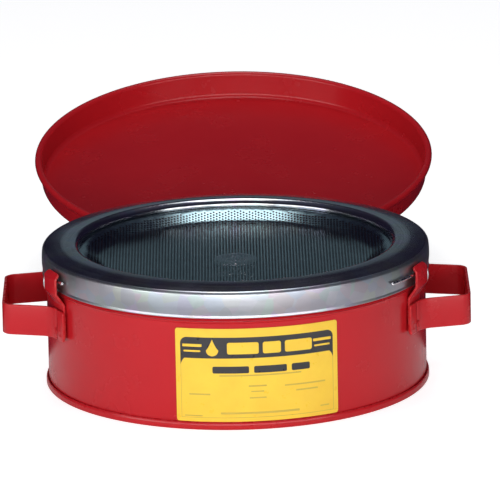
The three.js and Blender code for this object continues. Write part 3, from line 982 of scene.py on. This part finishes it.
# The same for thin lines, each with its height above the label's foot and its thickness.
SMALL_PRINT = (
    (26.5, 76.5, 28.2, 0.9),
    (8, 21, 16.5, 1.0),
    (66, 92, 20.8, 0.9),
    (73, 87, 17.2, 0.9),
    (44, 55, 21.5, 1.0),
    (45.5, 53.5, 18.2, 0.8),
    (44.5, 54.8, 14.2, 0.9),
    (27, 75, 4.6, 1.3),
    (5, 16, 3.2, 0.8),
    (88.5, 94.5, 5.6, 0.8),
)


def on_label(u, v, lift):
    """A point on the label: u from its left edge and v from its bottom, in
    millimetres, lift above its face."""
    azimuth = LABEL_LEFT + math.degrees(u / LABEL_FACE)
    return around(azimuth, LABEL_FACE + lift, LABEL_LOW + v)


def columns(name, left, right, bottom, top, material, lift, back=0.12, steps=None):
    """A thin printed or cut shape that follows the wall: bottom(u) and top(u) are
    its edges from left to right, and back is its thickness."""
    steps = steps or max(8, math.ceil((right - left) / 0.8))
    points, faces = [], []
    for i in range(steps + 1):
        u = left + (right - left) * (1 - math.cos(math.pi * i / steps)) / 2
        b, t = bottom(u), max(top(u), bottom(u) + 0.01)
        for v, height in ((b, lift), (t, lift), (t, lift - back), (b, lift - back)):
            points.append(on_label(u, v, height))
    for i in range(steps):
        a, b = 4 * i, 4 * (i + 1)
        for j in range(4):
            k = (j + 1) % 4
            faces.append([a + j, b + j, b + k, a + k])
    faces += [[0, 1, 2, 3], [4 * steps + j for j in (3, 2, 1, 0)]]
    made = mesh_object(name, points, faces, material, None, 30)
    outward(made)
    made.data.set_sharp_from_angle(angle=math.radians(30))
    return made


def round_box(name, left, right, low_edge, high_edge, radius, material, lift, back=0.12, steps=None):
    """A box with round corners on the label."""
    radius = min(radius, (right - left) / 2, (high_edge - low_edge) / 2)

    def bottom(u):
        return low_edge + drawn_in(min(u - left, right - u), radius)

    def top(u):
        return high_edge - drawn_in(min(u - left, right - u), radius)

    return columns(name, left, right, bottom, top, material, lift, back, steps)


def label_base():
    """The film itself, with round corners, its back close to the wall."""
    made = round_box("label_film", 0, LABEL_WIDE, 0, LABEL_TALL, LABEL_CORNER, YELLOW, 0.0, 0.3, 120)
    return finished(made, "can", "label_film", "label")


def band():
    """The black band: round corners above, and a short tail down each side."""
    left, right = LABEL_MARGIN, LABEL_WIDE - LABEL_MARGIN

    def top(u):
        return BAND_HIGH - drawn_in(min(u - left, right - u), BAND_CORNER)

    def bottom(u):
        near = min(u - left, right - u)
        return BAND_LOW - BAND_TAIL * max(0.0, 1 - near / TAIL_WIDTH) ** 1.8

    return columns("band", left, right, bottom, top, BLACK, BLACK_LIFT, 0.1, 160)


def drop(middle, low_edge, tall, wide):
    """A plain drop: a half circle below, drawn up to a point."""
    radius = wide / 2

    def share(u):
        return min(1.0, abs(u - middle) / radius)

    def bottom(u):
        return low_edge + radius * (1 - math.sqrt(1 - share(u) ** 2))

    def top(u):
        return low_edge + radius + (tall - radius) * (1 - share(u)) ** 1.35

    return columns("drop", middle - radius, middle + radius, bottom, top, YELLOW, YELLOW_LIFT, 0.1, 32)


def yellow_print():
    """Fill marks at both ends of the band, the drop, and plain bars for a heading."""
    middle = (BAND_LOW + BAND_HIGH) / 2
    parts = []
    for start in (LABEL_MARGIN + 1.4, LABEL_WIDE - LABEL_MARGIN - 13.2):
        mark = (start, start + 11.8, middle + 0.6, middle + 2.3)
        note = (start + 0.6, start + 11, middle - 2.6, middle - 1.5)
        parts.append(round_box("mark", *mark, 0.3, YELLOW, YELLOW_LIFT))
        parts.append(round_box("mark_note", *note, 0.4, YELLOW, YELLOW_LIFT))
    parts.append(drop(22.5, BAND_LOW + 1.4, BAND_HIGH - BAND_LOW - 2.6, 7.4))
    for start, end in HEADINGS:
        bar = (start, end, BAND_LOW + 2.6, BAND_HIGH - 3.2)
        parts.append(round_box("heading", *bar, 1.2, YELLOW, YELLOW_LIFT))
    return parts


def faint_print():
    """Thin lines for rows of small print, and a frame line round them."""
    left, right = LABEL_MARGIN, LABEL_WIDE - LABEL_MARGIN
    foot, side_foot, side_top = 2.3, 2.6, BAND_LOW - BAND_TAIL + 0.6
    boxes = [(start, end, v, v + tall, 0.3) for start, end, v, tall in SMALL_PRINT]
    boxes.append((left, left + FRAME_LINE, side_foot, side_top, 0.1))
    boxes.append((right - FRAME_LINE, right, side_foot, side_top, 0.1))
    boxes.append((left, right, foot, foot + FRAME_LINE, 0.1))
    return [round_box("line", *box, FAINT, FAINT_LIFT) for box in boxes]


def label_print():
    """Three pieces of print on the film: black, yellow and faint."""
    black = [band()]
    for start, end in TITLES:
        bar = (start, end, BAND_LOW - 9.3, BAND_LOW - 5.0)
        black.append(round_box("title", *bar, 0.9, BLACK, BLACK_LIFT))
    prints = {"black": black, "yellow": yellow_print(), "faint": faint_print()}
    for tone, parts in prints.items():
        finished(joined(f"label_{tone}_print", parts), "can", "label_film")


# ------------------------------------------------------------ camera and light
AIM = placed(0, 0, 85.8)  # on the axis, level with the corner of the ring's skirt and top
ELEVATION, DISTANCE, ROLL = 14.91, 4.18, -1.19
LENS, SHIFT = 490.9, (0.02964, -0.01662)

# Each light: azimuth and elevation in degrees, distance and size in metres, watts, tint.
WHITE = (1, 1, 1)
LIGHTS = {
    "key": (-5, 9, 1.6, (1.3, 0.4), 12, WHITE),
    "key_left": (-52, 9, 1.6, (1.2, 0.4), 8, WHITE),
    "key_right": (37, 9, 1.6, (1.0, 0.4), 6.5, WHITE),
    "top": (180, 77, 1.3, (0.5, 0.9), 6, WHITE),
    "low_back": (180, 15, 1.6, (0.5, 0.3), 0.085, (0.68, 0.93, 1.0)),
}


def camera():
    """A long lens in front of the can, a little above it and turned slightly."""
    e = math.radians(ELEVATION)
    data = bpy.data.cameras.new("camera")
    data.lens, data.sensor_width = LENS, 36
    data.shift_x, data.shift_y = SHIFT
    data.clip_start, data.clip_end = 0.1, 60
    made = bpy.data.objects.new("camera", data)
    away = Vector((0, -math.cos(e), math.sin(e)))
    made.location = AIM + away * DISTANCE
    made.rotation_mode = "QUATERNION"
    level = (-away).to_track_quat("-Z", "Y").to_matrix()
    made.rotation_quaternion = (level @ Matrix.Rotation(math.radians(ROLL), 3, "Z")).to_quaternion()
    bpy.context.scene.collection.objects.link(made)
    bpy.context.scene.camera = made


def softbox(name, azimuth, elevation, distance, size, power, tint):
    """An area light that faces the can. Azimuth 0 is in front of it."""
    a, e = math.radians(azimuth), math.radians(elevation)
    way = Vector((math.sin(a) * math.cos(e), -math.cos(a) * math.cos(e), math.sin(e)))
    data = bpy.data.lights.new(name, "AREA")
    data.shape, data.size, data.size_y = "RECTANGLE", *size
    data.energy, data.color = power, tint
    made = bpy.data.objects.new(name, data)
    made.location = Vector((0, 0, 0.05)) + way * distance
    made.rotation_mode = "QUATERNION"
    made.rotation_quaternion = (-way).to_track_quat("-Z", "Y")
    bpy.context.scene.collection.objects.link(made)
    return made


def plane(name, back_edge, z, material):
    """A level square-cornered sheet, wide enough to pass for a floor."""
    reach = 12.0
    corners = [(-reach, -reach), (reach, -reach), (reach, back_edge), (-reach, back_edge)]
    return mesh_object(name, [Vector((x, y, z)) for x, y in corners], [[0, 1, 2, 3]], material)


def floor():
    """A wide pale floor that only the camera sees, and just under it the one that the
    can mirrors and that throws light back onto it, which ends by the can's middle."""
    z = STAND * MM
    pale = Finish("pale_floor", (0.6, 0.6, 0.6), 0, 0.9, Emission_Color=(1, 1, 1, 1), Emission_Strength=0.82)
    pale.set("Roughness", pale.spread(pale.noise(3, 2), 0.85, 0.95))
    seen = plane("floor", 12.0, z, pale.material)
    seen.visible_glossy = False
    seen.visible_diffuse = False
    seen.visible_shadow = False
    card = Finish("bounce_floor", (0.8, 0.8, 0.8), 0, 0.9, Emission_Color=(1, 1, 1, 1), Emission_Strength=0.2)
    card.set("Roughness", card.spread(card.noise(3, 2), 0.85, 0.95))
    bounce = plane("bounce_floor", 0.05, z - 0.0002, card.material)
    bounce.visible_camera = False


def surroundings():
    """A pale room for the camera. For everything else it is dark near the horizon
    and lighter overhead, as a studio is."""
    world = bpy.data.worlds.new("studio")
    bpy.context.scene.world = world
    world.use_nodes = True
    nodes, links = world.node_tree.nodes, world.node_tree.links
    nodes.clear()
    place = nodes.new("ShaderNodeTexCoord")
    apart = nodes.new("ShaderNodeSeparateXYZ")
    ramp = nodes.new("ShaderNodeValToRGB")
    ramp.color_ramp.elements[0].position, ramp.color_ramp.elements[0].color = 0.55, (0.013, 0.011, 0.026, 1)
    ramp.color_ramp.elements[1].position, ramp.color_ramp.elements[1].color = 1.0, (0.08, 0.09, 0.13, 1)
    links.new(place.outputs["Generated"], apart.inputs[0])
    links.new(apart.outputs["Z"], ramp.inputs["Fac"])
    dark, pale = nodes.new("ShaderNodeBackground"), nodes.new("ShaderNodeBackground")
    links.new(ramp.outputs["Color"], dark.inputs["Color"])
    pale.inputs["Color"].default_value = (1, 1, 1, 1)
    path, either = nodes.new("ShaderNodeLightPath"), nodes.new("ShaderNodeMixShader")
    links.new(path.outputs["Is Camera Ray"], either.inputs[0])
    links.new(dark.outputs[0], either.inputs[1])
    links.new(pale.outputs[0], either.inputs[2])
    links.new(either.outputs[0], nodes.new("ShaderNodeOutputWorld").inputs[0])
    bpy.context.scene.view_settings.view_transform = "Standard"


camera()
body_shell()
chime_panel()
clamp_ring()
mesh_pan()
spring_cup("spring_cup_low", "lower_spring_seat", TUBE_RADIUS + GAP, SEAT_LOW, 1)
spring_cup("spring_cup_high", "upper_spring_seat", STEM_RADIUS + GAP, SEAT_HIGH, -1)
guide_sleeve()
guide_plunger()
spring_coil()
for side, mirror in (("right", 1), ("left", -1)):
    handle(side, mirror)
    hook_bracket(side, mirror)
    locking_wire(side, mirror)
    foot_welds(side, mirror)
lid_shell()
hinge_leaf_can()
hinge_leaf_lid()
hinge_rod()
label_base()
label_print()

floor()
for name, light in LIGHTS.items():
    softbox(name, *light)
surroundings()
